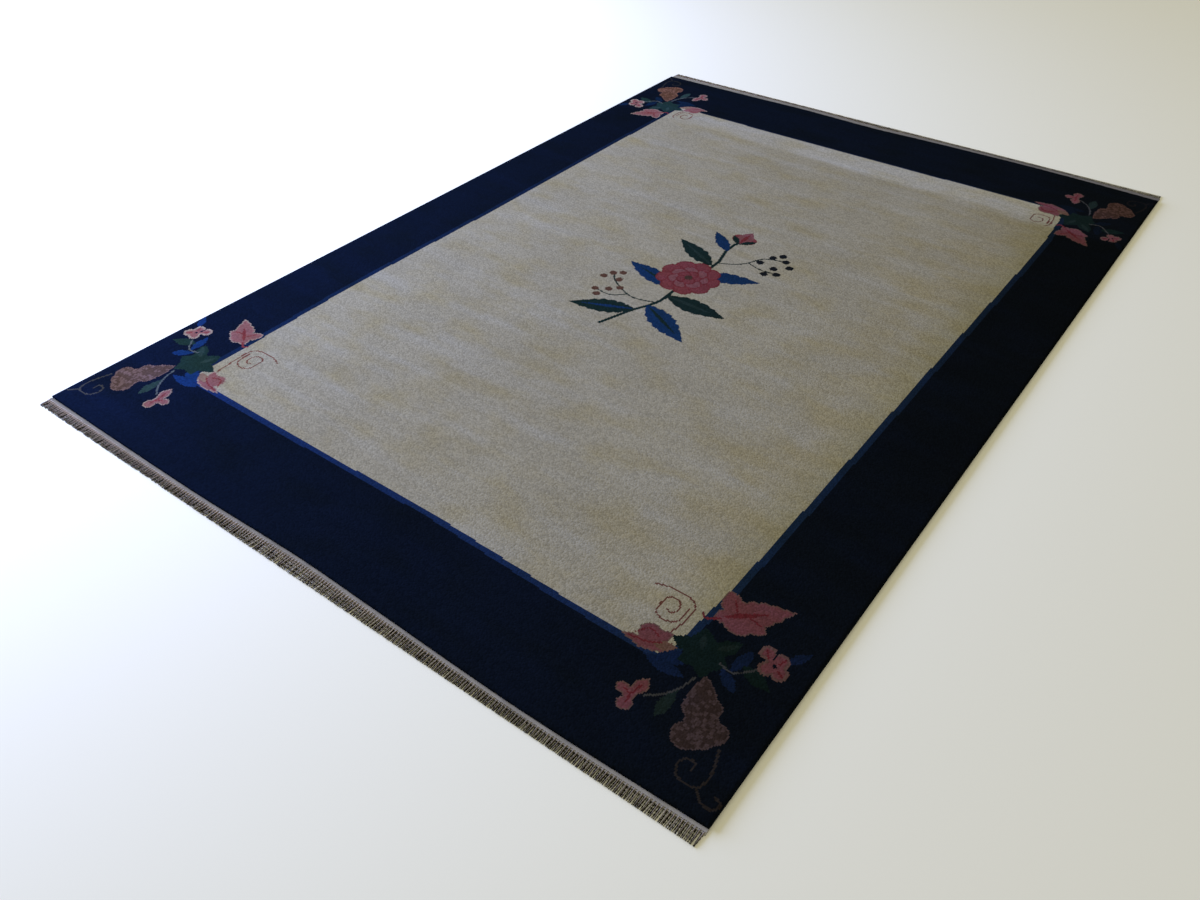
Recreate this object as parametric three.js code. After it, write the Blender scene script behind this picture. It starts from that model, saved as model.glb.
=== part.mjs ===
// A hand-knotted wool pile rug lying flat, with a flat-woven cotton band and a short fringe along both ends.
// Millimetres, +Z up. X runs across the rug and Y along it. The origin is on the floor under its centre.
import * as THREE from "three";

// Driving dimensions
const RUG_WIDTH = 2000; // from side to side
const HALF_LENGTH = 1481.5; // from the centre to the strand tips, at either end
const RUG_THICKNESS = 10; // cut pile on its knotted foundation
const EDGE_ROUND = 3; // radius of the pile's rim and of the overcast sides
const EDGE_ROUND_STEPS = 3; // facets in that rounding
const END_GAP = 0.3; // between the pile's end and the band
const BAND_DEPTH = { near: 11, far: 31 }; // flat weave past the pile, deeper where the weaver ended
const COTTON_THICKNESS = 3; // the band and its strands
const STRANDS_PER_END = 150;
const STRAND_SWAY = 1.5; // most that a tip leans to one side
const STRAND_SLACK = 5; // most that a strand falls short of the longest
const EDGE_STEPS = 48; // straight pieces in each uneven end

// How far the last row of pile lies from the centre, by the place across the rug: hand weaving leaves it uneven.
const PILE_ENDS = [
  { across: -1000, near: 1445, far: 1426 },
  { across: -600, near: 1447, far: 1430 },
  { across: -350, near: 1446, far: 1434 },
  { across: -50, near: 1439, far: 1424 },
  { across: 200, near: 1443, far: 1433 },
  { across: 600, near: 1450, far: 1438 },
  { across: 1000, near: 1441, far: 1425 },
];

// A strand's sections, by the share of its length, with its width and its share of the sway there.
const STRAND_SECTIONS = [
  { along: 0, width: 8.2, lean: 0 },
  { along: 0.55, width: 8.8, lean: 0.35 },
  { along: 1, width: 5.4, lean: 1 },
];

// Steps of an even but never repeating scatter from strand to strand, in radians.
const SWAY_TURN = 2.4;
const SLACK_TURN = 1.7;

// Wool and cotton as they look in daylight
const woolPile = new THREE.MeshStandardMaterial({ color: 0x8a867b, roughness: 0.95, metalness: 0 });
const cotton = new THREE.MeshStandardMaterial({ color: 0x9b9896, roughness: 0.9, metalness: 0 });

// The uneven last row of pile at one end, from the left side to the right one.
function pileEnd(end) {
  const rows = PILE_ENDS.map((row) => new THREE.Vector2(row.across, row[end]));
  return new THREE.SplineCurve(rows).getPoints(EDGE_STEPS);
}

// Distance from the centre to an uneven edge, at one place across the rug.
function reachAt(edge, across) {
  const next = Math.max(1, edge.findIndex((point) => point.x >= across));
  const [before, after] = [edge[next - 1], edge[next]];
  const share = (across - before.x) / (after.x - before.x);
  return before.y + share * (after.y - before.y);
}

function solidOf(outline, depth, rounding) {
  return new THREE.ExtrudeGeometry(new THREE.Shape(outline), { depth, ...rounding });
}

// The knotted cloth: one flat slab with rounded edges, uneven at its ends.
function knottedRug() {
  const near = pileEnd("near").map((point) => new THREE.Vector2(point.x, -point.y));
  const far = pileEnd("far").reverse();
  const rug = solidOf([...near, ...far], RUG_THICKNESS - 2 * EDGE_ROUND, {
    bevelEnabled: true,
    bevelThickness: EDGE_ROUND,
    bevelSize: EDGE_ROUND,
    bevelOffset: -EDGE_ROUND,
    bevelSegments: EDGE_ROUND_STEPS,
  });
  return rug.translate(0, 0, EDGE_ROUND);
}

// One strand's two sides in plan, from its root to its tip and back.
function strandOutline(index, root, side) {
  const pitch = RUG_WIDTH / STRANDS_PER_END;
  const middle = -RUG_WIDTH / 2 + pitch * (index + 0.5);
  const sway = STRAND_SWAY * Math.sin(index * SWAY_TURN);
  const slack = (STRAND_SLACK * (1 - Math.cos(index * SLACK_TURN))) / 2;
  const start = reachAt(root, middle);
  const length = HALF_LENGTH - slack - start;
  const edge = (section, hand) =>
    new THREE.Vector2(
      middle + section.lean * sway + (hand * section.width) / 2,
      side * (start + section.along * length),
    );
  const left = STRAND_SECTIONS.map((section) => edge(section, -1));
  const right = STRAND_SECTIONS.map((section) => edge(section, 1)).reverse();
  return [...left, ...right];
}

// A flat-woven end band with its strands, as one comb. side is -1 at the near end and 1 at the far one.
function fringedBand(end, side) {
  const pile = pileEnd(end);
  const inner = pile.map((point) => new THREE.Vector2(point.x, side * (point.y + END_GAP)));
  const root = pile.map((point) => new THREE.Vector2(point.x, point.y + END_GAP + BAND_DEPTH[end]));
  const corner = (point) => new THREE.Vector2(point.x, side * point.y);
  const strands = Array.from({ length: STRANDS_PER_END }, (_, i) => strandOutline(i, root, side));
  const outline = [corner(root[0]), ...strands.flat(), corner(root.at(-1)), ...inner.reverse()];
  return solidOf(outline, COTTON_THICKNESS, { bevelEnabled: false });
}

function piece(name, geometry, material) {
  const mesh = new THREE.Mesh(geometry, material);
  mesh.name = name;
  return mesh;
}

const rug = new THREE.Group();
rug.add(piece("knotted_rug", knottedRug(), woolPile));
rug.add(piece("near_fringe", fringedBand("near", -1), cotton));
rug.add(piece("far_fringe", fringedBand("far", 1), cotton));

export default rug;
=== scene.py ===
"""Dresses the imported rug: dyed knots in wool pile, woven cotton bands, twisted fringe, floor and light."""
import math
from collections import namedtuple

import bpy
import numpy as np
from mathutils import Matrix, Vector


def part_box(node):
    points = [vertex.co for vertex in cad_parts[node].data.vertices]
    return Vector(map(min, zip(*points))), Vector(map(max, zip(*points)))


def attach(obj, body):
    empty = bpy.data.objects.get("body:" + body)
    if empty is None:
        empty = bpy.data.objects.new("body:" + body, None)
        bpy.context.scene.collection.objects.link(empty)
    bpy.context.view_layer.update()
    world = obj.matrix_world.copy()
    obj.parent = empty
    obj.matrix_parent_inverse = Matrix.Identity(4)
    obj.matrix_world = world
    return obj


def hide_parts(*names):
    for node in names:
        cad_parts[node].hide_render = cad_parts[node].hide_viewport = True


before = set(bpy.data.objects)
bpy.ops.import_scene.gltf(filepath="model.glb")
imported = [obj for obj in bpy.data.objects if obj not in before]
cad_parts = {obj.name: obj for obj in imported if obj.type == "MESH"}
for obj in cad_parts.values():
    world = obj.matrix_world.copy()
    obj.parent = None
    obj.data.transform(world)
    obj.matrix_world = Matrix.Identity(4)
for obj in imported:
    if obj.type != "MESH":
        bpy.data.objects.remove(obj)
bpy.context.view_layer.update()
RUG_LOW, RUG_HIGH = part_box("knotted_rug")

bl_info = {
    "name": "Oriental Rug",
    "version": (1, 0, 0),
    "blender": (4, 5, 0),
    "location": "View3D > Sidebar > Rug",
    "description": "Knots a flat wool rug from its dye chart and fits its woven ends and fringe",
    "category": "Object",
}

MM = 0.001
SEED = 11


def linear(hex_colour):
    """An sRGB hex colour as linear red, green and blue."""
    parts = [int(hex_colour[i : i + 2], 16) / 255 for i in (1, 3, 5)]
    return tuple(c / 12.92 if c <= 0.04045 else ((c + 0.055) / 1.055) ** 2.4 for c in parts)


def length(name, description, millimetres):
    """A size in the sidebar, given in millimetres and kept in metres."""
    return bpy.props.FloatProperty(
        name=name, description=description, default=millimetres * MM, unit="LENGTH", precision=4
    )


def dye(name, description, hex_colour):
    """A dye's colour in the sidebar."""
    return bpy.props.FloatVectorProperty(
        name=name, description=description, default=linear(hex_colour), subtype="COLOR", min=0, max=1
    )


def angle(name, description, degrees):
    """An angle in the sidebar, given in degrees."""
    turn = math.radians(degrees)
    return bpy.props.FloatProperty(name=name, description=description, default=turn, unit="ROTATION")


class RugSizes(bpy.types.PropertyGroup):
    """Sizes of the knotted rug, in metres. Its ends and edges are given before they stray."""

    knot: length("Knot", "Width of one knot, for about ninety knots to the foot", 3.38)
    pile_near: length("Pile, near", "From the middle to the near end's last knots", 1445)
    pile_far: length("Pile, far", "From the middle to the far end's last knots", 1430)
    field_left: length("Field left", "From the middle to the field's left edge", 778)
    field_right: length("Field right", "From the middle to the field's right edge", 768)
    field_near: length("Field near", "From the middle to the field's near edge", 1181)
    field_far: length("Field far", "From the middle to the field's far edge", 1148)
    guard: length("Guard stripe", "Width of the blue stripe around the field", 17)
    fuzz: length("Edge fuzz", "How far the tufts of a motif's edge stray", 0.5)
    nap_wave: length("Nap wave", "Height of the soft waves in the pile", 0.8)
    rim_drop: length("Rim drop", "How far the pile's rim is rounded down", 2.2)
    rim_width: length("Rim width", "Width of the pile's rounded rim", 8)


class FringeSizes(bpy.types.PropertyGroup):
    """Sizes of the woven end bands and their fringe, in metres."""

    near_band: length("Near band", "Depth of the flat weave past the pile at the near end", 11)
    far_band: length("Far band", "Depth of the flat weave past the pile at the far end", 31)
    warp: length("Warp spacing", "Spacing of the warps in the band, drawn a little coarse to show", 6.6)
    weft: length("Weft row", "Depth of one weft row in the band, drawn a little coarse to show", 2.4)
    weave_relief: length("Weave relief", "Height of the weave's bumps", 0.7)
    strand_gap: length("Strand spacing", "Spacing of the fringe's upper strands", 8.2)
    strand: length("Strand", "Radius of a strand of two plies", 1.6)
    twist: length("Twist", "Length of one turn of a strand's twist", 15)
    slack: length("Slack", "Most that a strand falls short of the longest, midway across", 2.5)
    sway: length("Sway", "Most that neighbouring strands lean together, midway across", 1.8)
    stray: length("Stray", "How far a single strand's tip strays", 0.6)


class RugDyes(bpy.types.PropertyGroup):
    """Dyes of the wool and the colour of the cotton."""

    ivory: dye("Ivory", "The field", "#8a8680")
    navy: dye("Navy", "The border", "#090f1c")
    royal_blue: dye("Royal blue", "Leaves of the middle spray", "#12294f")
    guard_blue: dye("Guard blue", "The guard stripe at the near end", "#122143")
    leaf_blue: dye("Leaf blue", "Slender leaves of the corner sprays", "#0d1b36")
    deep_blue: dye("Deep blue", "The guard stripe at the sides and the far end", "#101d37")
    rose: dye("Rose", "Broad leaves and petals", "#68424c")
    pale_rose: dye("Pale rose", "Edges of the leaves and petals", "#6a5759")
    deep_rose: dye("Deep rose", "Veins and petal folds", "#5e2831")
    coral: dye("Coral", "Petals of the middle spray", "#64333d")
    rust: dye("Rust", "Tendrils on the field", "#5c3a38")
    tan: dye("Tan", "The turned petal of the field's flowers", "#66504c")
    green: dye("Green", "Leaves", "#132225")
    teal: dye("Teal", "Lighter leaves", "#1d2b2f")
    brown: dye("Brown", "The lobed fruit", "#3c2d2c")
    mauve: dye("Mauve", "The fruit's outline and flecks", "#4f3d3f")
    pale_stem: dye("Pale stem", "Flower stems on the border", "#3d4149")
    taupe: dye("Taupe", "Tendrils on the border", "#232226")
    berry: dye("Berry", "Dark berries", "#141820")
    bud: dye("Bud", "Brown buds", "#493430")
    band_cotton: dye("Band cotton", "The near band, of undyed cotton", "#817e82")
    worn_cotton: dye("Worn cotton", "The far band, greyed by use", "#706e73")
    fringe_cotton: dye("Fringe cotton", "The fringe's upper strands", "#958a8b")
    # Painted shade: the under row of strands is drawn near black, standing for the shade between the upper
    # strands.
    trodden_cotton: dye("Trodden cotton", "The under strands, drawn near black as painted shade", "#1e1b18")


DYES = tuple(RugDyes.__annotations__)


class StageLook(bpy.types.PropertyGroup):
    """The camera and the floor."""

    eye: bpy.props.FloatVectorProperty(
        name="Eye", description="Where the camera stands", default=(1.3786, -2.2393, 1.558), unit="LENGTH"
    )
    heading: angle("Heading", "Turn of the camera from +Y", 37.118)
    tilt: angle("Tilt", "Look down from the level", 40.087)
    roll: angle("Roll", "Turn about the line of sight", 0.231)
    lens: bpy.props.FloatProperty(
        name="Lens", description="Focal length on a 36 mm wide sensor", default=29.952, unit="CAMERA"
    )
    floor: dye("Floor", "Pale matt floor", "#eef0f8")


# Shapes of the dye chart, in millimetres of each motif's own place

Blade = namedtuple("Blade", "dye base tip breadth belly teeth", defaults=(0.5, 0))
Disc = namedtuple("Disc", "dye centre radius")
Stem = namedtuple("Stem", "dye points width")

SCALLOP = 0.16  # depth of a scalloped edge, as a share of the leaf's breadth


class Patch:
    """The knots around one motif, with their places in the motif's own millimetres."""

    def __init__(self, chart, places, centre, reach, facing=(1, 1)):
        across, along, fuzz = places
        columns = np.flatnonzero(abs(across - centre[0]) < reach[0])
        rows = np.flatnonzero(abs(along - centre[1]) < reach[1])
        window = np.s_[rows[0] : rows[-1] + 1, columns[0] : columns[-1] + 1]
        self.knots = chart[window]
        self.u, self.v = np.meshgrid(
            facing[0] * (across[columns] - centre[0]), facing[1] * (along[rows] - centre[1])
        )
        self.fuzzy_u, self.fuzzy_v = self.u + fuzz[0][window], self.v + fuzz[1][window]

    def dye(self, where, name):
        self.knots[where] = DYES.index(name)

    def disc(self, centre, radius):
        return np.hypot(self.fuzzy_u - centre[0], self.fuzzy_v - centre[1]) < radius

    def blade(self, base, tip, breadth, belly, teeth):
        """A pointed leaf from base to tip, widest at the belly, plain or scalloped."""
        reach = np.subtract(tip, base)
        span = np.hypot(*reach)
        du, dv = self.fuzzy_u - base[0], self.fuzzy_v - base[1]
        share = np.clip((du * reach[0] + dv * reach[1]) / span**2, 0, 1)
        aside = abs(du * reach[1] - dv * reach[0]) / span
        half = breadth / 2 * np.sin(math.pi * share ** (math.log(0.5) / math.log(belly)))
        if teeth:
            half *= 1 - SCALLOP * (1 - abs(np.sin(math.pi * teeth * share)))
        return (aside < half) & (share > 0) & (share < 1)

    def stem(self, points, width):
        """A thin curved line through a few points."""
        path = smooth(points)
        gap = np.full(self.u.shape, np.inf)
        for start, end in zip(path[:-1], path[1:]):
            step = end - start
            du, dv = self.u - start[0], self.v - start[1]
            share = np.clip((du * step[0] + dv * step[1]) / (step @ step), 0, 1)
            gap = np.minimum(gap, np.hypot(du - share * step[0], dv - share * step[1]))
        return gap < width / 2

    def inside(self, shape):
        make = {Blade: self.blade, Disc: self.disc, Stem: self.stem}[type(shape)]
        return make(*shape[1:])

    def draw(self, *shapes):
        for shape in shapes:
            self.dye(self.inside(shape), shape.dye)

    def outlined(self, shapes, outline, rings):
        """Shapes of one dye joined into one, with an outline a few knots wide."""
        whole = np.logical_or.reduce([self.inside(shape) for shape in shapes])
        self.dye(whole, outline)
        for _ in range(rings):
            whole = ~grown(~whole)
        self.dye(whole, shapes[0].dye)
        return whole

    def pale_edged(self, shapes, lines, rings):
        """Petals or leaf lobes joined into one with a pale edge, and the folds or veins on them."""
        self.outlined(shapes, "pale_rose", rings)
        self.draw(*lines)


def smooth(points, steps=8):
    """A smooth path through a few points."""
    knots = np.array([points[0], *points, points[-1]], float)
    path = []
    for a, b, c, d in zip(knots, knots[1:], knots[2:], knots[3:]):
        for t in np.arange(steps) / steps:
            point = 2 * b + (c - a) * t
            point += (2 * a - 5 * b + 4 * c - d) * t**2
            point += (3 * b - a - 3 * c + d) * t**3
            path.append(point / 2)
    return np.array([*path, knots[-1]])


def grown(where):
    """A shape one knot larger all round."""
    wider = where.copy()
    wider[1:] |= where[:-1]
    wider[:-1] |= where[1:]
    wider[:, 1:] |= where[:, :-1]
    wider[:, :-1] |= where[:, 1:]
    return wider


# The corner spray is drawn once, outwards from the field's corner: across the border, then towards the end.

LEAF_CLUSTER = (
    Blade("leaf_blue", (48, 22), (-48, 18), 30),
    Blade("leaf_blue", (42, -24), (-26, 8), 36),
    Blade("green", (58, -50), (-26, -50), 36, 0.6),
    Blade("green", (48, -28), (18, -108), 52),
    Blade("green", (40, -38), (98, -116), 40, 0.6, 5),
    Blade("green", (30, -50), (104, -44), 54),
    Blade("green", (44, -76), (72, 4), 58, 0.5, 5),
    Blade("green", (62, -64), (14, -8), 52),
    Blade("teal", (60, -70), (96, -108), 14),
    Blade("teal", (40, -52), (22, -94), 13),
)
UPPER_LEAVES = (
    Blade("leaf_blue", (110, -42), (124, -112), 26),
    Blade("leaf_blue", (90, -42), (142, -4), 26, 0.55),
    Blade("leaf_blue", (188, -122), (218, -172), 20),
    Blade("green", (124, -70), (194, -46), 32, 0.45),
    Stem("pale_stem", ((84, -48), (118, -44), (150, -78)), 4.4),
)
BLOSSOM_MIDDLE = (169, -107)
BLOSSOM = (
    Disc("rose", (147, -126), 18),
    Disc("rose", (177, -122), 18),
    Disc("rose", (189, -93), 18),
    Disc("rose", (162, -90), 17),
    Disc("rose", (169, -107), 16),
)
BLOSSOM_FOLDS = (
    Stem("deep_rose", ((142, -130), (154, -114)), 4),
    Stem("deep_rose", ((183, -130), (178, -114)), 4),
    Stem("deep_rose", ((197, -90), (182, -97)), 4),
    Stem("navy", ((160, -144), (164, -116)), 4.5),
    Disc("navy", (172, -105), 5),
)
LEAF_BASE = (12, -137)
LEAF = (
    Disc("rose", (64, -160), 35),
    Blade("rose", (56, -156), (3, -221), 50, 0.55, 3),
    Blade("rose", (50, -168), (122, -164), 54, 0.5, 3),
    Blade("rose", LEAF_BASE, (144, -248), 78, 0.42, 7),
)
LEAF_VEINS = (
    Blade("deep_rose", (28, -150), (108, -216), 12, 0.4),
    Stem("deep_rose", ((50, -172), (28, -202)), 4),
    Stem("deep_rose", ((66, -182), (102, -174)), 4),
    Stem("deep_rose", ((-10, -137), (2, -128), (26, -144)), 5.5),
)
FIELD_FLOWER = (
    Blade("rose", (-16, -8), (-114, 1), 30, 0.45, 3),
    Blade("rose", (-74, -2), (-26, -54), 42),
    Disc("rose", (-67, -30), 24),
)
FLOWER_FOLDS = (
    Blade("tan", (-46, -10), (-2, -29), 24),
    Stem("deep_rose", ((-90, -16), (-72, -40), (-46, -32)), 4),
    Stem("deep_rose", ((-98, -2), (-60, -8), (-34, -22)), 4),
)
TENDRIL_FOOT = ((-31, -42), (-32, -62))
TENDRIL_TOP = ((-26, -96), (-26, -130), (-38, -148), (-62, -155), (-100, -154), (-130, -145))
SPIRAL = (
    *((-35, -128), (-36, -96), (-44, -80), (-62, -74), (-82, -78), (-91, -92), (-91, -122)),
    *((-82, -134), (-66, -134), (-56, -124), (-55, -106), (-62, -98), (-74, -100)),
)
TENDRIL_WIDTH = 3.8
LOWER_LEAVES = (
    Blade("teal", (54, 44), (50, 126), 27, 0.6),
    Stem("pale_stem", ((64, 8), (56, 42), (36, 76), (10, 98)), 4.4),
)
LOWER_BLOSSOM = (
    Blade("rose", (-12, 114), (-2, 60), 30),
    Disc("rose", (-34, 106), 13),
    Disc("rose", (-10, 133), 16),
    Disc("rose", (-14, 110), 14),
)
LOWER_FOLDS = (
    Stem("deep_rose", ((-7, 82), (-12, 108), (-28, 106)), 4),
    Stem("deep_rose", ((-12, 108), (-10, 130)), 4),
)
SCROLLS = (
    Stem(
        "taupe",
        ((184, 116), (199, 168), (192, 204), (156, 206), (140, 186), (146, 166), (164, 164), (166, 180)),
        4.6,
    ),
    Stem("taupe", ((192, 204), (212, 224), (236, 226), (242, 208), (226, 202)), 4.6),
)
FRUIT = (
    Blade("brown", (128, 104), (80, -8), 58),
    Disc("brown", (104, 62), 29),
    Disc("brown", (126, 50), 22),
    Disc("brown", (160, 92), 26),
    Disc("brown", (130, 90), 34),
    Disc("brown", (145, 112), 27),
    Disc("brown", (122, 124), 31),
)
RIPE = 62  # how far down the fruit its seeds crowd
SEEDS = (0.065, 0.13)  # share of the fruit's knots that begin a seed of two by two, above that and below

# Where the weaver set each spray: its middle, how far its upper part strays along the rug, the sizes of its
# broad leaf, its blossom and the field's flower with their strays, and the points of the tendril above.
Corner = namedtuple(
    "Corner", "side end across along rise leaf_size leaf_stray blossom_size flower_size flower_stray tendril"
)
CORNERS = (
    Corner(1, -1, 751, 1191, 0, 1.0, (0, 0), 1.0, 1.0, 0, 6),
    Corner(-1, -1, 775, 1181, -34, 0.78, (3, -43), 0.9, 1.0, 0, 6),
    Corner(-1, 1, 771, 1178, 14, 0.8, (9, 24), 1.0, 1.0, 0, 3),
    Corner(1, 1, 780, 1166, -8, 0.8, (6, 11), 0.75, 1.15, 5, 3),
)
FLOWER_TOP = (-60, 10)
CORNER_REACH = (330, 330)


def placed(shapes, stray, size=1.0, pivot=(0, 0)):
    """Shapes enlarged about a pivot and moved."""
    pivot = np.array(pivot)

    def move(point):
        return pivot + size * (np.array(point) - pivot) + stray

    moved = []
    for shape in shapes:
        if isinstance(shape, Blade):
            ends = {"base": move(shape.base), "tip": move(shape.tip)}
            moved.append(shape._replace(**ends, breadth=size * shape.breadth))
        elif isinstance(shape, Disc):
            moved.append(shape._replace(centre=move(shape.centre), radius=size * shape.radius))
        else:
            moved.append(shape._replace(points=[move(point) for point in shape.points]))
    return moved


def corner_spray(chart, places, corner):
    """Leaves, blossoms, a lobed fruit and tendrils at one corner of the field."""
    middle = (corner.side * corner.across, corner.end * corner.along)
    patch = Patch(chart, places, middle, CORNER_REACH, (corner.side, corner.end))
    rise = np.array([0, corner.rise])
    patch.draw(*LEAF_CLUSTER, *placed(UPPER_LEAVES, rise))
    blossom = (rise, corner.blossom_size, BLOSSOM_MIDDLE)
    patch.pale_edged(placed(BLOSSOM, *blossom), placed(BLOSSOM_FOLDS, *blossom), 2)
    leaf = (corner.leaf_stray, corner.leaf_size, LEAF_BASE)
    patch.pale_edged(placed(LEAF, *leaf), placed(LEAF_VEINS, *leaf), 1)
    stray = np.array([corner.flower_stray, 0])
    for foot, top in ((TENDRIL_FOOT, TENDRIL_TOP[: corner.tendril]), ((), SPIRAL)):
        tendril = Stem("rust", (*foot, *(top + rise)), TENDRIL_WIDTH)
        patch.draw(*placed([tendril], stray))
    flower = (stray, corner.flower_size, FLOWER_TOP)
    patch.pale_edged(placed(FIELD_FLOWER, *flower), placed(FLOWER_FOLDS, *flower), 1)
    patch.draw(*LOWER_LEAVES, *SCROLLS)
    patch.pale_edged(LOWER_BLOSSOM, LOWER_FOLDS, 1)
    fruit = patch.outlined(FRUIT, "mauve", 1)
    share = np.where(patch.v > RIPE, SEEDS[1], SEEDS[0])
    seeds = np.random.default_rng(SEED).uniform(size=fruit.shape) < share
    seeds[1:] |= seeds[:-1]
    seeds[:, 1:] |= seeds[:, :-1]
    patch.dye(fruit & seeds, "mauve")


# The middle spray: a full bloom on a bending stem, with broad leaves, a bud, dark berries and brown buds.

MIDDLE = (-8, 30)
MIDDLE_REACH = (270, 390)
BLOOM = (4, 6)
PetalRing = namedtuple("PetalRing", "petals reach radius dye")
PETAL_RINGS = (
    PetalRing(9, 66, 34, "coral"),
    PetalRing(7, 39.6, 27.2, "rose"),
    PetalRing(5, 19.8, 20.4, "coral"),
)
FIRST_PETAL = 0.25  # where each ring begins, as a share of one petal
PETAL_EDGE = 5  # width of a petal's dark edge
BLOOM_EYE = 13
MIDDLE_STEMS = (
    Stem("green", ((-64, -352), (-30, -250), (10, -150), (6, 0), (28, 120), (8, 226), (18, 300)), 11),
    Stem("green", ((4, -170), (-70, -186), (-150, -150), (-196, -106)), 5),
    Stem("green", ((24, 130), (90, 170), (132, 240), (196, 262)), 5),
    Stem("green", ((106, 190), (150, 176), (208, 178)), 4.5),
    Stem("green", ((-92, -184), (-130, -214), (-188, -210)), 4.5),
)
MIDDLE_LEAVES = (
    Blade("green", (-24, -236), (-206, -316), 74, 0.42, 7),
    Blade("royal_blue", (-30, -238), (-176, -300), 12, 0.4),
    Blade("royal_blue", (-8, -196), (182, -300), 78, 0.42, 7),
    Blade("green", (0, -200), (150, -280), 12, 0.4),
    Blade("green", (8, -120), (214, -128), 72, 0.45, 6),
    Blade("teal", (14, -120), (180, -126), 12, 0.4),
    Blade("royal_blue", (0, -70), (-196, -16), 70, 0.45, 6),
    Blade("green", (0, -68), (-160, -24), 11, 0.4),
    Blade("royal_blue", (14, 40), (196, 104), 64, 0.45, 6),
    Blade("green", (22, 108), (-148, 196), 66, 0.45, 6),
    Blade("teal", (16, 112), (-120, 182), 11, 0.4),
    Blade("royal_blue", (16, 214), (-84, 306), 44, 0.45, 5),
)
TOP_BUD = (
    Disc("coral", (0, 312), 24),
    Disc("coral", (36, 312), 24),
    Blade("rose", (18, 280), (18, 366), 52, 0.45),
    Blade("deep_rose", (18, 282), (18, 350), 14),
    Blade("green", (18, 274), (-24, 318), 20),
    Blade("green", (18, 274), (60, 318), 20),
)
BERRIES = ((196, 262), (172, 288), (150, 262), (208, 178), (184, 204), (176, 160), (132, 214), (222, 236))
BERRY_RADIUS = 12.5
BUDS = (
    *((-196, -106), (-172, -88), (-158, -128), (-188, -210)),
    *((-166, -232), (-152, -190), (-128, -166), (-210, -136)),
)
BUD_RADIUS = 11.5


def middle_spray(chart, places):
    """The flower spray in the middle of the field."""
    patch = Patch(chart, places, MIDDLE, MIDDLE_REACH)
    patch.draw(*MIDDLE_STEMS, *MIDDLE_LEAVES, *TOP_BUD)
    for ring in PETAL_RINGS:
        for turn in 2 * math.pi * (np.arange(ring.petals) + FIRST_PETAL) / ring.petals:
            centre = (BLOOM[0] + ring.reach * math.cos(turn), BLOOM[1] + ring.reach * math.sin(turn))
            patch.draw(Disc("deep_rose", centre, ring.radius))
            patch.draw(Disc(ring.dye, centre, ring.radius - PETAL_EDGE))
    patch.draw(Disc("brown", BLOOM, BLOOM_EYE))
    for centre in BERRIES:
        patch.draw(Disc("berry", centre, BERRY_RADIUS))
    for centre in BUDS:
        patch.draw(Disc("bud", centre, BUD_RADIUS))


# The knotted rug

CELL_SIZES = (8, 4, 2, 1)  # knots along the sides of the pile's cells
BACK_CELL_SIZES = (16, *CELL_SIZES)  # and of the flat back's
BACK_KNOTS = 2  # knots of one dye along and across the back, at the least

# How far the weaver let the field's edges stray outwards, by the place along or across, in millimetres.
SIDE_STRAYS = {
    "along": (-1180, -950, -600, 100, 700, 900, 1150),
    "left": (-3, -3, 7, -6, -5, -7, -9),
    "right": (-27, -11, -5, 5, 15, 16, 4),
}
END_STRAYS = {
    "across": (-780, -400, 100, 500, 750),
    "near": (-2, -3, -8, 9, 12),
    "far": (4, -2, -3, 0, 2),
}

# The guard stripe along the left, right, near and far edges, as a share of its width.
GuardRun = namedtuple("GuardRun", "share dye")
GUARD_RUNS = (
    GuardRun(1.0, "deep_blue"),
    GuardRun(1.0, "deep_blue"),
    GuardRun(0.9, "guard_blue"),
    GuardRun(0.4, "deep_blue"),
)


def dye_chart(sizes):
    """Every knot's dye, in rows from the near end."""
    coarsest = BACK_CELL_SIZES[0]
    width = RUG_HIGH.x - RUG_LOW.x
    columns = coarsest * round(width / sizes.knot / coarsest)
    pile = sizes.pile_near + sizes.pile_far
    rows = coarsest * round(pile / sizes.knot / coarsest)
    across = ((np.arange(columns) + 0.5) / columns - 0.5) * width / MM
    along = ((np.arange(rows) + 0.5) / rows * pile - sizes.pile_near) / MM
    fuzz = np.random.default_rng(SEED).normal(0, sizes.fuzz / MM, (2, rows, columns))
    x, y = np.meshgrid(across, along)
    side_along, left, right = SIDE_STRAYS.values()
    end_across, near, far = END_STRAYS.values()
    inside = np.array(
        [
            sizes.field_left / MM + np.interp(y, side_along, left) + x,
            sizes.field_right / MM + np.interp(y, side_along, right) - x,
            sizes.field_near / MM + np.interp(x, end_across, near) + y,
            sizes.field_far / MM + np.interp(x, end_across, far) - y,
        ]
    )
    chart = np.full(x.shape, DYES.index("navy"))
    for edge, run in enumerate(GUARD_RUNS):
        stripe = (inside.argmin(0) == edge) & (inside[edge] > -run.share * sizes.guard / MM)
        chart[stripe] = DYES.index(run.dye)
    chart[inside.min(0) > 0] = DYES.index("ivory")
    for corner in CORNERS:
        corner_spray(chart, (across, along, fuzz), corner)
    middle_spray(chart, (across, along, fuzz))
    return chart


def dye_cells(chart, sizes):
    """The chart as square cells of one dye: large in plain wool, one knot small at the edges of motifs."""
    rim = np.zeros(chart.shape, bool)
    rim[[0, -1]] = True
    rim[:, [0, -1]] = True
    free = np.ones(chart.shape, bool)
    cells = []
    for size in sizes:
        rows, columns = chart.shape[0] // size, chart.shape[1] // size
        blocks = [layer.reshape(rows, size, columns, size) for layer in (chart, rim, free)]
        plain = (blocks[0].min((1, 3)) == blocks[0].max((1, 3))) & blocks[2].all((1, 3))
        if size > 1:
            plain &= ~blocks[1].any((1, 3))
        cells += [(row * size, column * size, size) for row, column in np.argwhere(plain)]
        free &= ~np.kron(plain, np.ones((size, size), bool))
    return cells


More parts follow.
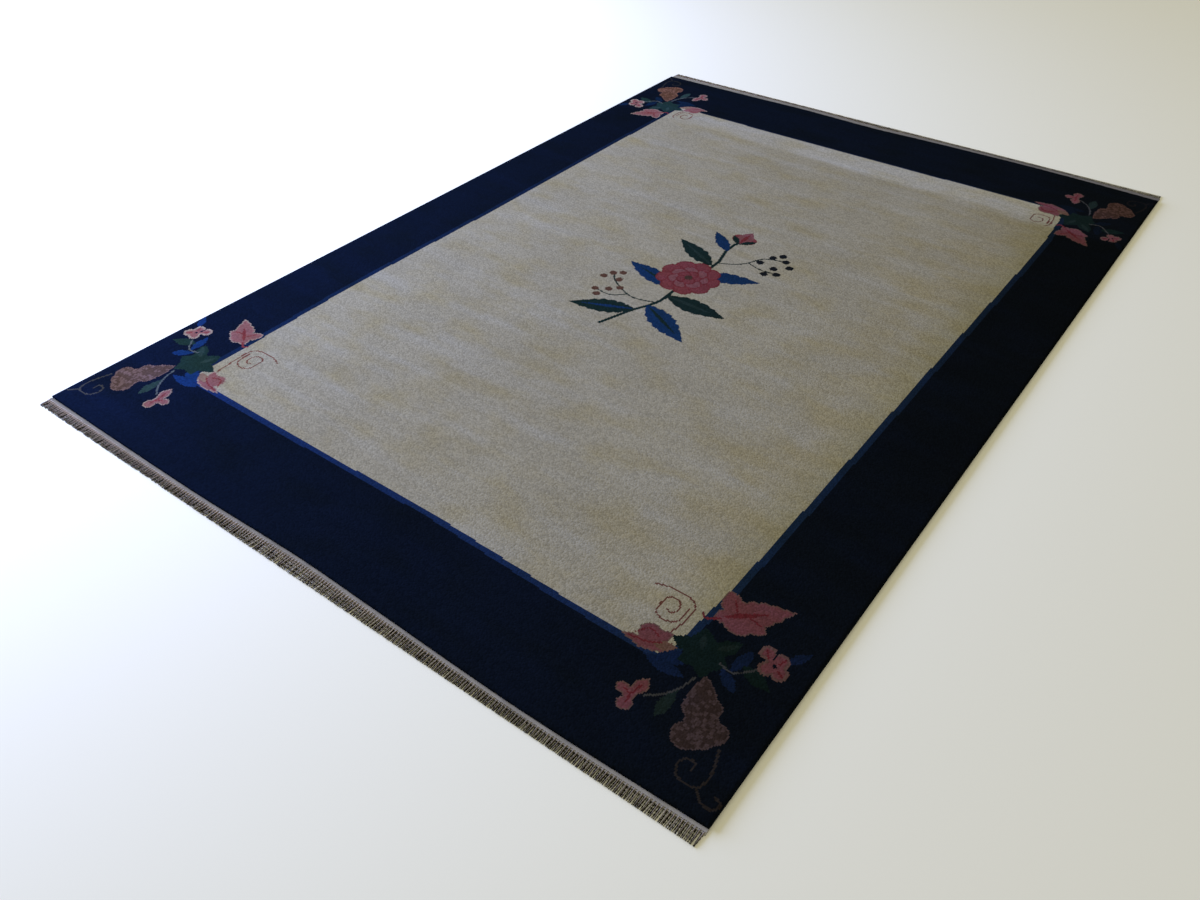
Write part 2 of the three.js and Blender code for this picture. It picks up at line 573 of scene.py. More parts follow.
def cell_mesh(chart, sizes):
    """Corner places in knots, faces and dyes of a sheet of cells. A cell beside smaller ones is a fan."""
    cells = dye_cells(chart, sizes)
    used = np.zeros(np.add(chart.shape, 1), bool)
    for row, column, size in cells:
        used[row : row + size + 1 : size, column : column + size + 1 : size] = True
    number = np.cumsum(used).reshape(used.shape) - 1
    places = np.argwhere(used).astype(float).tolist()
    faces, dyes = [], []
    for row, column, size in cells:
        steps = range(size)
        ring = [(row, column + i) for i in steps]
        ring += [(row + i, column + size) for i in steps]
        ring += [(row + size, column + size - i) for i in steps]
        ring += [(row + size - i, column) for i in steps]
        ring = [int(number[place]) for place in ring if used[place]]
        if len(ring) == 4:
            faces.append(ring)
        else:
            faces += [[len(places), a, b] for a, b in zip(ring, ring[1:] + ring[:1])]
            places.append([row + size / 2, column + size / 2])
        dyes += [chart[row, column]] * (len(faces) - len(dyes))
    return np.array(places), faces, dyes, number


WIDEST = 0.26  # this near to the middle of its height, as a share of it, the rug is at its widest


def pile_reach(end, across):
    """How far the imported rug's uneven pile reaches at one end, at places across it."""
    corners = np.array([vertex.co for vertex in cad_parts["knotted_rug"].data.vertices])
    height = RUG_HIGH.z - RUG_LOW.z
    widest = (abs(corners[:, 2] - RUG_LOW.z - height / 2) < WIDEST * height) & (corners[:, 1] * end > 0)
    edge = corners[widest]
    order = np.argsort(edge[:, 0])
    return np.interp(across, edge[order, 0], abs(edge[order, 1]))


def knot_places(places, shape, sizes):
    """Knot corners on the flat rug. The rows past the field bend to the rug's uneven ends."""
    share = places / shape
    x = RUG_LOW.x + share[:, 1] * (RUG_HIGH.x - RUG_LOW.x)
    along = share[:, 0] * (sizes.pile_near + sizes.pile_far) - sizes.pile_near
    past_near = np.clip((-along - sizes.field_near) / (sizes.pile_near - sizes.field_near), 0, 1)
    past_far = np.clip((along - sizes.field_far) / (sizes.pile_far - sizes.field_far), 0, 1)
    bend = past_far * (pile_reach(1, x) - sizes.pile_far) - past_near * (pile_reach(-1, x) - sizes.pile_near)
    return x, along + bend


# Waves of the nap across and along: metres to a radian, how far they wind, and metres to a radian of that.
NAP_WAVES = ((0.31, 2.2, 0.47), (0.23, 1.7, 0.39))
RIPPLES = (0.083, 0.117)  # metres to a radian of the small waves that cross
RIPPLE_SHARE = 0.5
WAVE_SHARE = 0.2  # keeps the sum of the waves within half their height, up and down


def pile_height(x, y, sizes):
    """Height of the pile: soft waves of the nap, rounded down at the rim."""
    waves = np.zeros(len(x))
    for (span, winding, bend), place, other in zip(NAP_WAVES, (x, y), (y, x)):
        waves += np.sin(place / span + winding * np.sin(other / bend))
    waves += RIPPLE_SHARE * np.sin((x + y) / RIPPLES[0]) * np.sin((x - 2 * y) / RIPPLES[1])
    edges = [x - RUG_LOW.x, RUG_HIGH.x - x, y + pile_reach(-1, x), pile_reach(1, x) - y]
    inside = np.minimum.reduce(edges)
    rim = 1 - np.clip(inside / sizes.rim_width, 0, 1)
    return RUG_HIGH.z - sizes.nap_wave * (0.5 - WAVE_SHARE * waves) - sizes.rim_drop * rim**2


# Rings round the rug's edge, from the pile down to the floor: millimetres inwards and share of the height.
EDGE_RINGS = ((0.0, 0.62), (0.2, 0.3))
TOP_INSET = 1.2  # millimetres from the edge to the pile's last knots
TUFT_STRAY = (-1.0, 4.0)  # least and most millimetres that the last tufts lean over the bands
BACK_INSET = 1.0  # millimetres from the edge to the flat back
EDGE_JITTER = 0.45  # most millimetres that the edge's corners stray


def rug_edge(shape, number):
    """The edge's knot corners in order around the rug, with the way out of the rug at each."""
    rows, columns = shape
    ring = [(0, c) for c in range(columns)] + [(r, columns) for r in range(rows)]
    ring += [(rows, c) for c in range(columns, 0, -1)] + [(r, 0) for r in range(rows, 0, -1)]
    ring = np.array(ring)
    along, across = ring.T
    outwards = np.stack([1.0 * (across == columns) - (across == 0), 1.0 * (along == rows) - (along == 0)], 1)
    return ring, outwards, number[along, across]


def rug_mesh(sizes):
    """One closed sheet: the pile's knots on top, its rounded edge, and the flat knotted back."""
    chart = dye_chart(sizes)
    jitter = np.random.default_rng(SEED)
    top, top_faces, top_dyes, top_number = cell_mesh(chart, CELL_SIZES)
    coarse = np.kron(chart[::BACK_KNOTS, ::BACK_KNOTS], np.ones((BACK_KNOTS, BACK_KNOTS), int))
    back, back_faces, back_dyes, back_number = cell_mesh(coarse, BACK_CELL_SIZES)
    ring, outwards, top_ring = rug_edge(chart.shape, top_number)
    back_ring = rug_edge(chart.shape, back_number)[2]
    x, y = knot_places(top, chart.shape, sizes)
    top_points = np.stack([x, y, pile_height(x, y, sizes)], 1)
    top_points[top_ring, :2] -= TOP_INSET * MM * outwards
    tufts = np.random.default_rng(SEED).uniform(*TUFT_STRAY, len(ring))
    top_points[top_ring, 1] += MM * tufts * outwards[:, 1]
    x, y = knot_places(back, chart.shape, sizes)
    back_points = np.stack([x, y, np.full(len(x), RUG_LOW.z)], 1)
    back_points[back_ring, :2] -= BACK_INSET * MM * outwards
    x, y = knot_places(ring.astype(float), chart.shape, sizes)
    points, rings = [top_points], [top_ring]
    count = len(top_points)
    for inset, share in EDGE_RINGS:
        out = -MM * (inset + EDGE_JITTER * jitter.uniform(0, 1, len(ring)))
        height = RUG_HIGH.z * share + MM * EDGE_JITTER * jitter.uniform(-1, 1, len(ring))
        points.append(np.stack([x + out * outwards[:, 0], y + out * outwards[:, 1], height], 1))
        rings.append(count + np.arange(len(ring)))
        count += len(ring)
    points.append(back_points)
    rings.append(back_ring + count)
    faces = list(top_faces)
    for upper, lower in zip(rings, rings[1:]):
        faces += np.stack([upper, lower, np.roll(lower, -1), np.roll(upper, -1)], 1).tolist()
    faces += [[count + corner for corner in reversed(face)] for face in back_faces]
    edge_dyes = [DYES.index("navy")] * (len(faces) - len(top_faces) - len(back_faces))
    return np.concatenate(points), faces, top_dyes + edge_dyes + back_dyes, len(back_faces)


# How the colours drift over a metre to the right and a metre towards the far end, as natural logarithms of
# red, green and blue. These drifts are partly dye lots and partly painted light and sheen: the window's
# light and sheen, strongest at the left, are drawn into the dyes.
PLAIN = (0.0, 0.0, 0.0)
LotAndLight = namedtuple("LotAndLight", "across along", defaults=[PLAIN])
PLAIN_DRIFT = LotAndLight(PLAIN)
BLUE_LOT_AND_LIGHT = LotAndLight((0.0, -0.18, -0.45), (-0.13, -0.16, -0.27))
ROSE_LOT_AND_LIGHT = LotAndLight((-0.34, -0.47, -0.39))
FRUIT_LOT_AND_LIGHT = LotAndLight((-0.5, -0.46, -0.37), (0.06, -0.04, -0.17))
FLOWER_LOT_AND_LIGHT = LotAndLight((-0.45, -0.55, -0.55))
LOTS_AND_PAINTED_LIGHT = {
    "ivory": PLAIN_DRIFT,
    "navy": BLUE_LOT_AND_LIGHT,
    "royal_blue": BLUE_LOT_AND_LIGHT,
    "guard_blue": BLUE_LOT_AND_LIGHT,
    "leaf_blue": LotAndLight((-0.15, -0.53, -0.7), (-0.26, -0.33, -0.5)),
    "deep_blue": LotAndLight((0.1, 0.0, -0.18), (-0.15, -0.2, -0.25)),
    "rose": ROSE_LOT_AND_LIGHT,
    "deep_rose": ROSE_LOT_AND_LIGHT,
    "pale_rose": LotAndLight((-0.6, -0.8, -0.75)),
    "rust": LotAndLight((-0.2, -0.2, -0.2)),
    "taupe": LotAndLight((-0.45, -0.55, -0.55), (-0.3, -0.3, -0.3)),
    "brown": FRUIT_LOT_AND_LIGHT,
    "mauve": FRUIT_LOT_AND_LIGHT,
    "band_cotton": LotAndLight((0.24, 0.27, 0.34)),
    "worn_cotton": LotAndLight((-0.2, -0.2, -0.1)),
    "fringe_cotton": LotAndLight((-0.45, -0.45, -0.52)),
    "trodden_cotton": PLAIN_DRIFT,
}


def new_object(name, points, faces, dyes, materials, palette):
    """A smooth mesh object at the origin, with a dye for each face."""
    mesh = bpy.data.meshes.new(name)
    mesh.from_pydata(points, [], faces)
    if mesh.validate():
        raise RuntimeError(f"{name}: its faces don't make a clean mesh")
    mesh.shade_smooth()
    for material in materials:
        mesh.materials.append(material)
    colours = np.array([(*getattr(palette, name), 1.0) for name in DYES])[dyes]
    lots_and_light = np.array([LOTS_AND_PAINTED_LIGHT.get(name, FLOWER_LOT_AND_LIGHT) for name in DYES])[dyes]
    places = np.array([points[face[0]][:2] for face in faces])
    # Painted light and sheen, partly dye lots: each face's colour drifts with its place across and along the
    # rug.
    colours[:, :3] *= np.exp(np.einsum("fac,fa->fc", lots_and_light, places))
    mesh.attributes.new("dye", "FLOAT_COLOR", "FACE").data.foreach_set("color", colours.ravel())
    made = bpy.data.objects.new(name, mesh)
    bpy.context.collection.objects.link(made)
    return made


# Materials


def add(tree, kind, inputs=None, **settings):
    """Adds a shader node. inputs maps a socket to its value, or to the output that feeds it."""
    node = tree.nodes.new(f"ShaderNode{kind}")
    for name, value in settings.items():
        setattr(node, name, value)
    for socket, value in (inputs or {}).items():
        if isinstance(value, bpy.types.NodeSocket):
            tree.links.new(value, node.inputs[socket])
        else:
            node.inputs[socket].default_value = value
    return node


def new_material(name):
    """A node material that is still empty, with its places in metres and the dye of each face."""
    material = bpy.data.materials.new(name)
    material.use_nodes = True
    tree = material.node_tree
    tree.nodes.clear()
    place = add(tree, "TexCoord").outputs["Object"]
    colour = add(tree, "Attribute", attribute_name="dye").outputs["Color"]
    return material, tree, place, colour


def surface(tree, inputs):
    """Finishes a material with the surface that its inputs describe."""
    shader = add(tree, "BsdfPrincipled", inputs)
    add(tree, "OutputMaterial", {"Surface": shader.outputs["BSDF"]})


def ranged(tree, value, limits=(0.0, 1.0), result=(0.0, 1.0)):
    """A value held between two limits and spread between two results."""
    inputs = {"Value": value, "From Min": limits[0], "From Max": limits[1]}
    inputs |= {"To Min": result[0], "To Max": result[1]}
    return add(tree, "MapRange", inputs).outputs["Result"]


def maths(tree, operation, *values):
    """One operation on up to three numbers."""
    return add(tree, "Math", dict(enumerate(values)), operation=operation).outputs[0]


def patches(tree, place, size, detail, roughness=0.5):
    """Soft random patches of about one size."""
    inputs = {"Vector": place, "Scale": 1 / size, "Detail": detail, "Roughness": roughness}
    return add(tree, "TexNoise", inputs).outputs["Fac"]


def toned(tree, colour, tone):
    """A colour made lighter or darker."""
    return add(tree, "VectorMath", {0: colour, "Scale": tone}, operation="SCALE").outputs[0]


def relief(tree, height, strength, depth, **settings):
    """Fine bumps of the surface."""
    inputs = {"Height": height, "Strength": strength, "Distance": depth}
    return add(tree, "Bump", inputs, **settings).outputs["Normal"]


CLOUD = 0.26  # size of the soft light and dark clouds, painted sheen and shade where the nap leans
STREAK = (0.6, 0.06)  # length across and depth of a pale streak along the weft rows
STREAK_SHOWS = (0.48, 0.7)  # strengths of the pattern between which the streaks come in
YELLOWED = (0.17, 0.09)  # length across and depth of the yellowed patches
YELLOWED_SHOWS = (0.46, 0.72)  # and the yellow
SHADED_RIGHT_SIDE = (0.45, 0.8)  # painted shade: where the right side of the rug is drawn yellower, away from the window's light
RIGHT_SIDE_SHADE = 0.16  # how much more yellow that painted shade adds there
TUFT = 0.0042  # clumps of a few tufts: single ones are too fine to show
TUFT_DEPTH = 2 * MM
CLOUD_TONE = 0.3  # how far each lightens or darkens the wool
TUFT_TONE = 0.36
STREAK_TINT = (1.07, 1.1, 1.2)  # what each does to the wool's red, green and blue
# The tint of the yellowed patches, and also of the painted shade on the right side
YELLOW_AND_SHADE_TINT = (0.95, 0.9, 0.73)
PALE_LOT = (1.03, 1.07)  # where a paler lot of wool begins, towards the far end
PALE_WAVER = 0.05  # how far that line wavers
PALE_TINT = (1.26, 1.32, 1.52)
PALE_START = (-0.8, 0.0)  # where that lot grows stronger, from left to right
PALE_LEAST = 0.3  # its strength at the left
FIELD_EDGE_SHADE = (0.66, 0.77)  # painted shade: where the field is drawn darker and yellower towards its right edge
FIELD_EDGE_SHADE_TINT = (0.86, 0.85, 0.71)
FIELD_GREEN = 0.22  # the field's dye has more green than this, and no other wool's has
UNTINTED = (1.0, 1.0, 1.0, 1.0)


def wool_pile():
    """Cut wool pile: soft and matt, clouded with painted sheen and shade where the nap leans, yellow in
    patches, paler in streaks along the weft, grainy with tufts, and with painted shade that yellows the
    right side and darkens the field's right edge."""
    material, tree, place, colour = new_material("Cut wool pile")
    axes = add(tree, "SeparateXYZ", {"Vector": place})
    across, along = axes.outputs["X"], axes.outputs["Y"]
    # Painted sheen and shade: random light and dark clouds where the nap leans.
    cloud = patches(tree, place, CLOUD, 6.0, 0.62)
    drawn = []
    for size in (STREAK, YELLOWED):
        longer = add(tree, "Mapping", {"Vector": place, "Scale": (1 / size[0], 1 / size[1], 1.0)})
        drawn.append(patches(tree, longer.outputs["Vector"], 1.0, 5.0))
    streak = ranged(tree, drawn[0], STREAK_SHOWS)
    # Painted shade: the right side, away from the window, drawn yellower.
    side = ranged(tree, across, SHADED_RIGHT_SIDE, (0.0, RIGHT_SIDE_SHADE))
    yellow_and_shade = ranged(tree, maths(tree, "ADD", drawn[1], side), YELLOWED_SHOWS)
    edge = maths(tree, "MULTIPLY_ADD", drawn[0], PALE_WAVER, along)
    strength = ranged(tree, across, PALE_START, (PALE_LEAST, 1.0))
    lot = ranged(tree, edge, PALE_LOT, (0.0, strength))
    green = add(tree, "SeparateColor", {"Color": colour}).outputs["Green"]
    field = maths(tree, "GREATER_THAN", green, FIELD_GREEN)
    # Painted shade: the field drawn darker and yellower along its right edge.
    field_edge_shade = ranged(tree, across, FIELD_EDGE_SHADE, (0.0, field))
    tuft = add(tree, "TexVoronoi", {"Vector": place, "Scale": 1 / TUFT})
    grain = add(tree, "SeparateColor", {"Color": tuft.outputs["Color"]}).outputs["Red"]
    tone = 1 - (CLOUD_TONE + TUFT_TONE) / 2
    for source, weight in ((cloud, CLOUD_TONE), (grain, TUFT_TONE)):
        tone = maths(tree, "MULTIPLY_ADD", source, weight, tone)
    wool = toned(tree, colour, tone)
    # Of these tints, the right side's yellow and the field's darker right edge are painted shade.
    tints = ((streak, STREAK_TINT), (yellow_and_shade, YELLOW_AND_SHADE_TINT), (lot, PALE_TINT), (field_edge_shade, FIELD_EDGE_SHADE_TINT))
    for share, tint in tints:
        inputs = {"Factor": share, "A": UNTINTED, "B": (*tint, 1.0)}
        shade = add(tree, "Mix", inputs, data_type="RGBA").outputs["Result"]
        wool = add(tree, "VectorMath", {0: wool, 1: shade}, operation="MULTIPLY").outputs[0]
    surface(
        tree,
        {
            "Base Color": wool,
            "Normal": relief(tree, tuft.outputs["Distance"], 0.3, TUFT_DEPTH, invert=True),
            "Roughness": ranged(tree, grain, result=(0.82, 1.0)),
            "Specular IOR Level": 0.0,
            "Sheen Weight": 0.003,
            "Sheen Roughness": 0.5,
        },
    )
    return material


YARN_GLINT = 0.15  # the faint shine of tight yarn, which the cut pile lacks
KNOT_ROW = 3.38 * MM  # rows of knots on the back
KNOT_DEPTH = 0.8 * MM
WAVE_RATE = 20  # radians that Blender's wave pattern turns through over one unit
WEFT_SHADE = 0.45  # painted shade: how much darker the wool is drawn in the grooves between the rows, where the weft lies sunk


def knotted_back():
    """The rug's back: the same dyes in flat rows of knots, with the weft sunk between them and painted shade
    in those grooves.
    """
    material, tree, place, colour = new_material("Knotted wool back")
    scale = 2 * math.pi / KNOT_ROW / WAVE_RATE
    inputs = {"Vector": place, "Scale": scale, "Distortion": 0.6, "Detail": 1.0}
    rows = add(tree, "TexWave", inputs, bands_direction="Y").outputs["Fac"]
    surface(
        tree,
        {
            # Painted shade: the wool drawn darker in the grooves between the rows.
            "Base Color": toned(tree, colour, ranged(tree, rows, result=(1 - WEFT_SHADE, 1.0))),
            "Normal": relief(tree, rows, 0.5, KNOT_DEPTH),
            "Roughness": ranged(tree, rows, result=(1.0, 0.85)),
            "Specular IOR Level": YARN_GLINT,
        },
    )
    return material


GREYED = 0.045  # size of the greyed stretches of the cotton
GREYED_TONE = (0.55, 1.45)  # the darkest and the palest of them
FIBRE = 0.0016  # fuzz of the spun yarn, drawn coarse to show
FIBRE_DEPTH = 0.5 * MM
TIPS = (1.457, 1.479)  # from the rug's middle to where the painted shade on the fringe begins, and to where it is darkest
# Painted shade on the fringe towards its tips, and painted light on the roots and the bands beside them.
TIP_SHADE = 0.4
ROOT_SHADE = 1.18


def spun_cotton():
    """Undyed spun cotton, matt and greyed in patches by the floor, with a fine fuzz, painted light at the
    roots and painted shade towards the fringe's tips.
    """
    material, tree, place, colour = new_material("Undyed spun cotton")
    greyed = ranged(tree, patches(tree, place, GREYED, 6.0, 0.72), result=GREYED_TONE)
    fuzz = patches(tree, place, FIBRE, 2.0)
    along = add(tree, "SeparateXYZ", {"Vector": place}).outputs["Y"]
    # Painted light at the roots and painted shade towards the tips.
    root_light_tip_shade = ranged(tree, maths(tree, "ABSOLUTE", along), TIPS, (ROOT_SHADE, TIP_SHADE))
    surface(
        tree,
        {
            "Base Color": toned(tree, colour, maths(tree, "MULTIPLY", greyed, root_light_tip_shade)),
            "Normal": relief(tree, fuzz, 0.4, FIBRE_DEPTH),
            "Roughness": ranged(tree, fuzz, result=(0.8, 1.0)),
            "Specular IOR Level": YARN_GLINT,
        },
    )
    return material


def pale_floor(colour):
    """A plain matt painted floor."""
    material = bpy.data.materials.new("Pale matt floor")
    material.use_nodes = True
    paint = material.node_tree.nodes["Principled BSDF"].inputs
    paint["Base Color"].default_value = (*colour, 1.0)
    paint["Roughness"].default_value = 0.9
    return material


# The woven bands and their fringe

BAND_STEPS = 4  # steps across for each warp
ROW_STEPS = 2  # steps along for each weft row
BAND_SLOPE = 2 * MM  # how far the band's outer edge slopes out
BAND_WOBBLE = 0.4 * MM  # how far the band's depth strays
WOBBLE_WAVES = (0.021, 0.0073)  # metres to a radian of that
END_GAP = 0.3 * MM  # between the pile's end and the band


def woven_band(end, low, high, depth, sizes):
    """A flat weave past the pile: weft rows that rise and dip over the warps, like laid bricks."""
    columns = BAND_STEPS * round((high.x - low.x) / sizes.warp)
    rows = ROW_STEPS * round(depth / sizes.weft)
    x = np.linspace(low.x, high.x, columns + 1)
    share = np.linspace(0, 1, rows + 1)
    inner = pile_reach(end, x) + END_GAP
    wobble = BAND_WOBBLE * np.sin(x / WOBBLE_WAVES[0]) * np.sin(x / WOBBLE_WAVES[1])
    y = inner + share[:, None] * (depth + wobble)
    row = share[:, None] * rows / ROW_STEPS
    lift = abs(np.sin(math.pi * (x / sizes.warp + 0.5 * np.floor(row)))) * abs(np.sin(math.pi * row))
    z = high.z - sizes.weave_relief * (1 - lift)
    top = np.stack([np.broadcast_to(x, y.shape), end * y, z], -1)
    inner_foot = np.stack([x, end * y[0], np.zeros_like(x)], -1)
    outer_foot = np.stack([x, end * (y[-1] + BAND_SLOPE), np.zeros_like(x)], -1)
    points = np.concatenate([top.reshape(-1, 3), inner_foot, outer_foot])
    grid = np.arange(top.shape[0] * top.shape[1]).reshape(top.shape[:2])
    inner_feet = grid.size + np.arange(columns + 1)
    outer_feet = inner_feet + columns + 1
    bands = [*zip(grid, grid[1:]), (grid[-1], outer_feet), (outer_feet, inner_feet), (inner_feet, grid[0])]
    faces = []
    for a, b in bands:
        faces += np.stack([a[:-1], a[1:], b[1:], b[:-1]], 1).tolist()
    faces.append([*grid[:, 0].tolist(), int(outer_feet[0]), int(inner_feet[0])])
    faces.append([int(inner_feet[-1]), int(outer_feet[-1]), *grid[::-1, -1].tolist()])
    return points, faces if end > 0 else [face[::-1] for face in faces]


ROOT_DEPTH = 3 * MM  # how deep a strand is rooted in its band
TWO_PLIES = (1.0, 0.68, 0.68, 1.0, 0.68, 0.68)  # section of a strand, as shares of its radius
SWAY_WAVES = (0.023, 0.0091)  # metres to a radian, along the end, of how neighbours lean
LOOSER = 0.6  # how much looser the strands lie at the left side, and tighter at the right one
MOST_STRAY = 2  # a tip strays no farther than this many times the usual
ARCH = 0.3  # most that a strand arches up, as a share of its height
TIP_TAPER = 0.3  # how much thinner it is at its tip
LEAN_BEND, ROOT_FALL, LATE_TAPER = 1.3, 3, 6  # powers of its length: lean, fall from the root, taper

# The fringe's rows of strands: strands for each spacing, shift in spacings, height and rise at the root in
# radii, lean of the tips in pairs in radii, steps along, and dye.
StrandRow = namedtuple("StrandRow", "density shift height rise pairing steps dye")
STRAND_ROWS = (
    # The under row's near-black dye is painted shade between the upper strands.
    StrandRow(2.3, 0.0, 0.65, 0.5, 0.0, 4, "trodden_cotton"),
    StrandRow(1.0, 0.5, 1.25, 0.5, 0.8, 7, "fringe_cotton"),
)
UNSHADED_ROOTS = 0.25  # left of this place across the rug, the strands' roots take the upper strands' pale dye, without the under row's painted shade


def strands(end, low, high, depth, row, sizes):
    """A row of twisted strands that lie on the floor, each a little astray and uneven in length."""
    scatter = np.random.default_rng(SEED + end)
    count = round(row.density * (high.x - low.x) / sizes.strand_gap)
    limit = (high.x - low.x) / 2 - sizes.strand
    root = np.clip(low.x + (np.arange(count) + row.shift) * (high.x - low.x) / count, -limit, limit)
    start = pile_reach(end, root) + END_GAP + depth - ROOT_DEPTH
    loose = 1 - LOOSER * root / high.x
    stop = max(abs(low.y), abs(high.y)) - sizes.slack * loose * scatter.uniform(0, 1, count) ** 2
    lean = sizes.sway * loose * np.sin(root / SWAY_WAVES[0]) * np.sin(root / SWAY_WAVES[1] + row.shift)
    most = MOST_STRAY * sizes.stray
    lean += np.clip(scatter.normal(0, sizes.stray, count), -most, most)
    lean += row.pairing * sizes.strand * loose * np.where(np.arange(count) % 2, -1, 1)
    share = np.linspace(0, 1, row.steps + 1)
    x = np.clip(root[:, None] + lean[:, None] * share**LEAN_BEND, -limit, limit)
    y = start[:, None] + (stop - start)[:, None] * share
    arch = ARCH * scatter.uniform(0, 1, count)[:, None] * np.sin(math.pi * share)
    z = sizes.strand * row.height * (1 + arch)
    z += row.rise * sizes.strand * (1 - share) ** ROOT_FALL
    turn = 2 * math.pi * (y - start[:, None]) / sizes.twist + scatter.uniform(0, 2 * math.pi, count)[:, None]
    sides = len(TWO_PLIES)
    corners = turn[..., None] + 2 * math.pi * np.arange(sides) / sides
    radius = sizes.strand * np.array(TWO_PLIES) * (1 - TIP_TAPER * share[:, None] ** LATE_TAPER)
    around_x = x[..., None] + radius * np.cos(corners)
    around_z = np.maximum(z[..., None] + radius * np.sin(corners), 0)
    around_y = np.broadcast_to(end * y[..., None], around_x.shape)
    points = np.stack([around_x, around_y, around_z], -1)
    tubes = np.arange(around_x.size).reshape(around_x.shape)
    inner, outer = tubes[:, :-1], tubes[:, 1:]
    quads = np.stack([inner, np.roll(inner, -1, 2), np.roll(outer, -1, 2), outer], -1)
    faces = quads.reshape(-1, 4).tolist() + tubes[:, 0, ::-1].tolist() + tubes[:, -1].tolist()
    dyes = np.full(quads.shape[:3], DYES.index(row.dye))
    # Painted shade left out at the left: there the under row's first step takes the pale dye.
    dyes[root < UNSHADED_ROOTS, 0] = DYES.index("fringe_cotton")
    dyes = dyes.ravel().tolist() + 2 * count * [DYES.index(row.dye)]
    return points.reshape(-1, 3), faces if end < 0 else [face[::-1] for face in faces], dyes


def fringed_band(end, name, depth, band_dye, sizes):
    """A woven band with its rows of strands, and the dye of each face."""
    low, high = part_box(name)
    points, faces = woven_band(end, low, high, depth, sizes)
    dyes = [DYES.index(band_dye)] * len(faces)
    for row in STRAND_ROWS:
        row_points, row_faces, row_dyes = strands(end, low, high, depth, row, sizes)
        faces += [[len(points) + corner for corner in face] for face in row_faces]
        dyes += row_dyes
        points = np.concatenate([points, row_points])
    return points, faces, dyes


# Operators


class RUG_OT_knotted_pile(bpy.types.Operator):
    """Knots the rug from its dye chart as one closed sheet."""

    bl_idname = "rug.knotted_pile"
    bl_label = "Knotted pile"

    def execute(self, context):
        points, faces, dyes, back_count = rug_mesh(context.scene.rug_sizes)
        wool = [wool_pile(), knotted_back()]
        rug = new_object("knotted_rug_wool", points, faces, dyes, wool, context.scene.rug_dyes)
        slots = np.zeros(len(faces), np.int32)
        slots[len(faces) - back_count :] = 1
        rug.data.polygons.foreach_set("material_index", slots)
        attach(rug, "root")
        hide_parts("knotted_rug")
        return {"FINISHED"}


class RUG_OT_end_fringes(bpy.types.Operator):
    """Weaves the cotton band at each end, with its twisted fringe."""

    bl_idname = "rug.end_fringes"
    bl_label = "End bands and fringe"

    def execute(self, context):
        sizes = context.scene.fringe_sizes
        cotton = spun_cotton()
        for name, end, depth, band_dye in (
            ("near_fringe", -1, sizes.near_band, "band_cotton"),
            ("far_fringe", 1, sizes.far_band, "worn_cotton"),
        ):
            points, faces, dyes = fringed_band(end, name, depth, band_dye, sizes)
            fringe = new_object(f"{name}_cotton", points, faces, dyes, [cotton], context.scene.rug_dyes)
            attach(fringe, "root")
            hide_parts(name)
        return {"FINISHED"}


FLOOR_SIDE = 60
FLOOR_GAP = 0.05 * MM  # keeps the floor just clear of the rug's underside
SENSOR_WIDTH = 36
WINDOW_SIZE = (5.0, 2.0)
WINDOW_PLACE = (-3.6, -0.8, 1.2)
WINDOW_AIM = (-2.1, -0.45, 0.0)
WINDOW_POWER = 395
WINDOW_COLOUR = (0.57, 0.685, 1.0)
ROOM_COLOUR = (1.0, 0.91, 0.55)
ROOM_LIGHT = 0.56


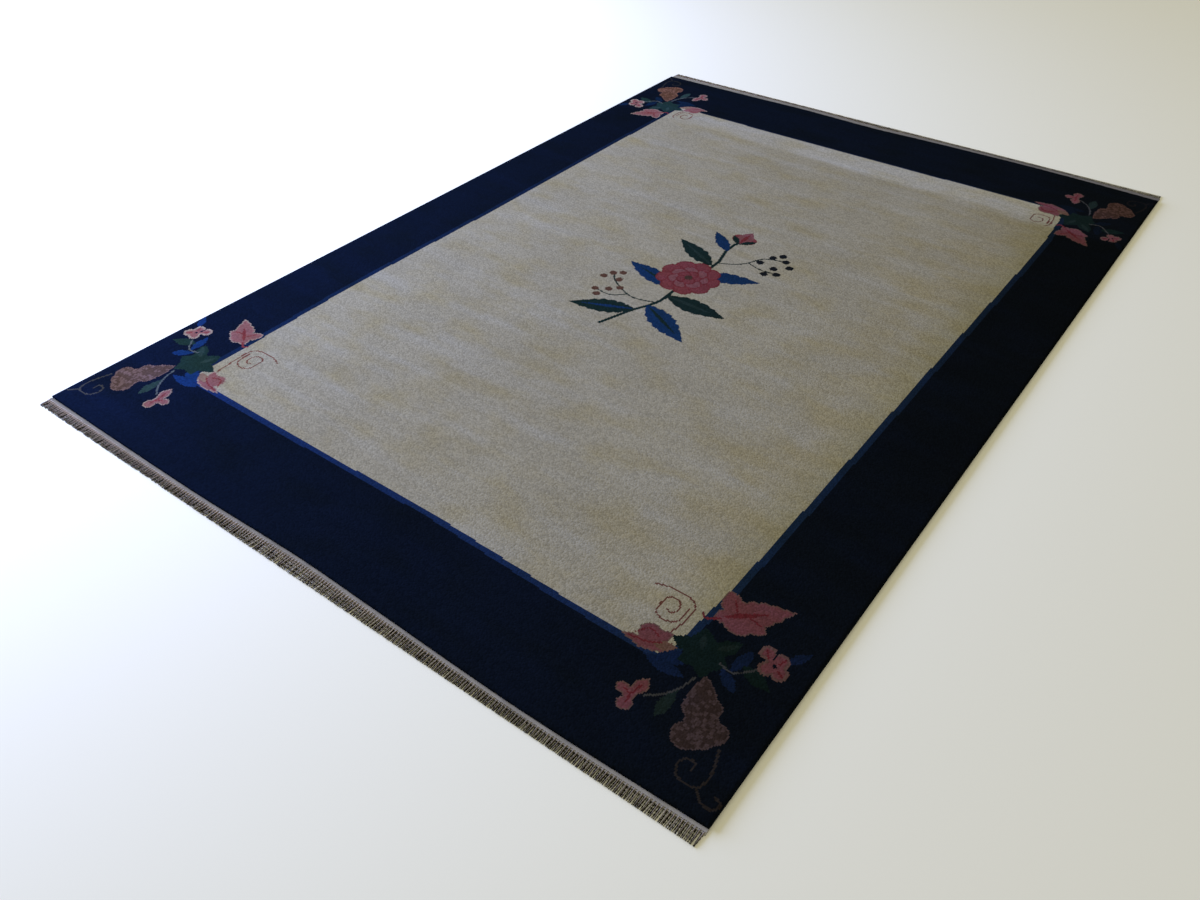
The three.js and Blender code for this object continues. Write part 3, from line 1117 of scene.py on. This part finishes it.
class RUG_OT_stage(bpy.types.Operator):
    """Lays the pale floor, sets the soft light and stands the camera at eye level by the near corner."""

    bl_idname = "rug.stage"
    bl_label = "Stage"

    def execute(self, context):
        scene = context.scene
        look = scene.rug_stage
        bpy.ops.object.select_all(action="DESELECT")
        bpy.ops.mesh.primitive_plane_add(size=FLOOR_SIDE, location=(0, 0, RUG_LOW.z - FLOOR_GAP))
        floor = context.object
        floor.name = "floor"
        floor.data.materials.append(pale_floor(look.floor))
        bpy.ops.object.light_add(type="AREA", location=WINDOW_PLACE)
        window = context.object
        window.data.shape = "RECTANGLE"
        window.data.size, window.data.size_y = WINDOW_SIZE
        window.data.energy = WINDOW_POWER
        window.data.color = WINDOW_COLOUR
        window.rotation_euler = (Vector(WINDOW_AIM) - window.location).to_track_quat("-Z", "Y").to_euler()
        world = bpy.data.worlds.new("Soft room light")
        world.use_nodes = True
        sky = world.node_tree.nodes["Background"]
        sky.inputs["Color"].default_value = (*ROOM_COLOUR, 1.0)
        sky.inputs["Strength"].default_value = ROOM_LIGHT
        scene.world = world
        scene.view_settings.view_transform = "Standard"
        bpy.ops.object.camera_add(location=look.eye)
        camera = context.object
        aim = Matrix.Rotation(look.heading, 3, "Z") @ Matrix.Rotation(math.pi / 2 - look.tilt, 3, "X")
        camera.rotation_euler = (aim @ Matrix.Rotation(-look.roll, 3, "Z")).to_euler()
        camera.data.sensor_width = SENSOR_WIDTH
        camera.data.sensor_fit = "HORIZONTAL"
        camera.data.lens = look.lens
        scene.camera = camera
        return {"FINISHED"}


class RUG_PT_sidebar(bpy.types.Panel):
    """Lists the rug's sizes, its dyes and the steps that make it."""

    bl_label = "Oriental rug"
    bl_space_type = "VIEW_3D"
    bl_region_type = "UI"
    bl_category = "Rug"

    def draw(self, context):
        for step in STEPS:
            self.layout.operator(step.bl_idname)
        for group in GROUPS:
            for name in GROUPS[group].__annotations__:
                self.layout.prop(getattr(context.scene, group), name)


STEPS = (RUG_OT_knotted_pile, RUG_OT_end_fringes, RUG_OT_stage)
GROUPS = {"rug_sizes": RugSizes, "fringe_sizes": FringeSizes, "rug_dyes": RugDyes, "rug_stage": StageLook}


def register():
    for group, kind in GROUPS.items():
        bpy.utils.register_class(kind)
        setattr(bpy.types.Scene, group, bpy.props.PointerProperty(type=kind))
    for kind in (*STEPS, RUG_PT_sidebar):
        bpy.utils.register_class(kind)


def unregister():
    for kind in (RUG_PT_sidebar, *reversed(STEPS)):
        bpy.utils.unregister_class(kind)
    for group, kind in GROUPS.items():
        delattr(bpy.types.Scene, group)
        bpy.utils.unregister_class(kind)


def main():
    register()
    bpy.ops.rug.knotted_pile()
    bpy.ops.rug.end_fringes()
    bpy.ops.rug.stage()


if __name__ == "__main__":
    main()
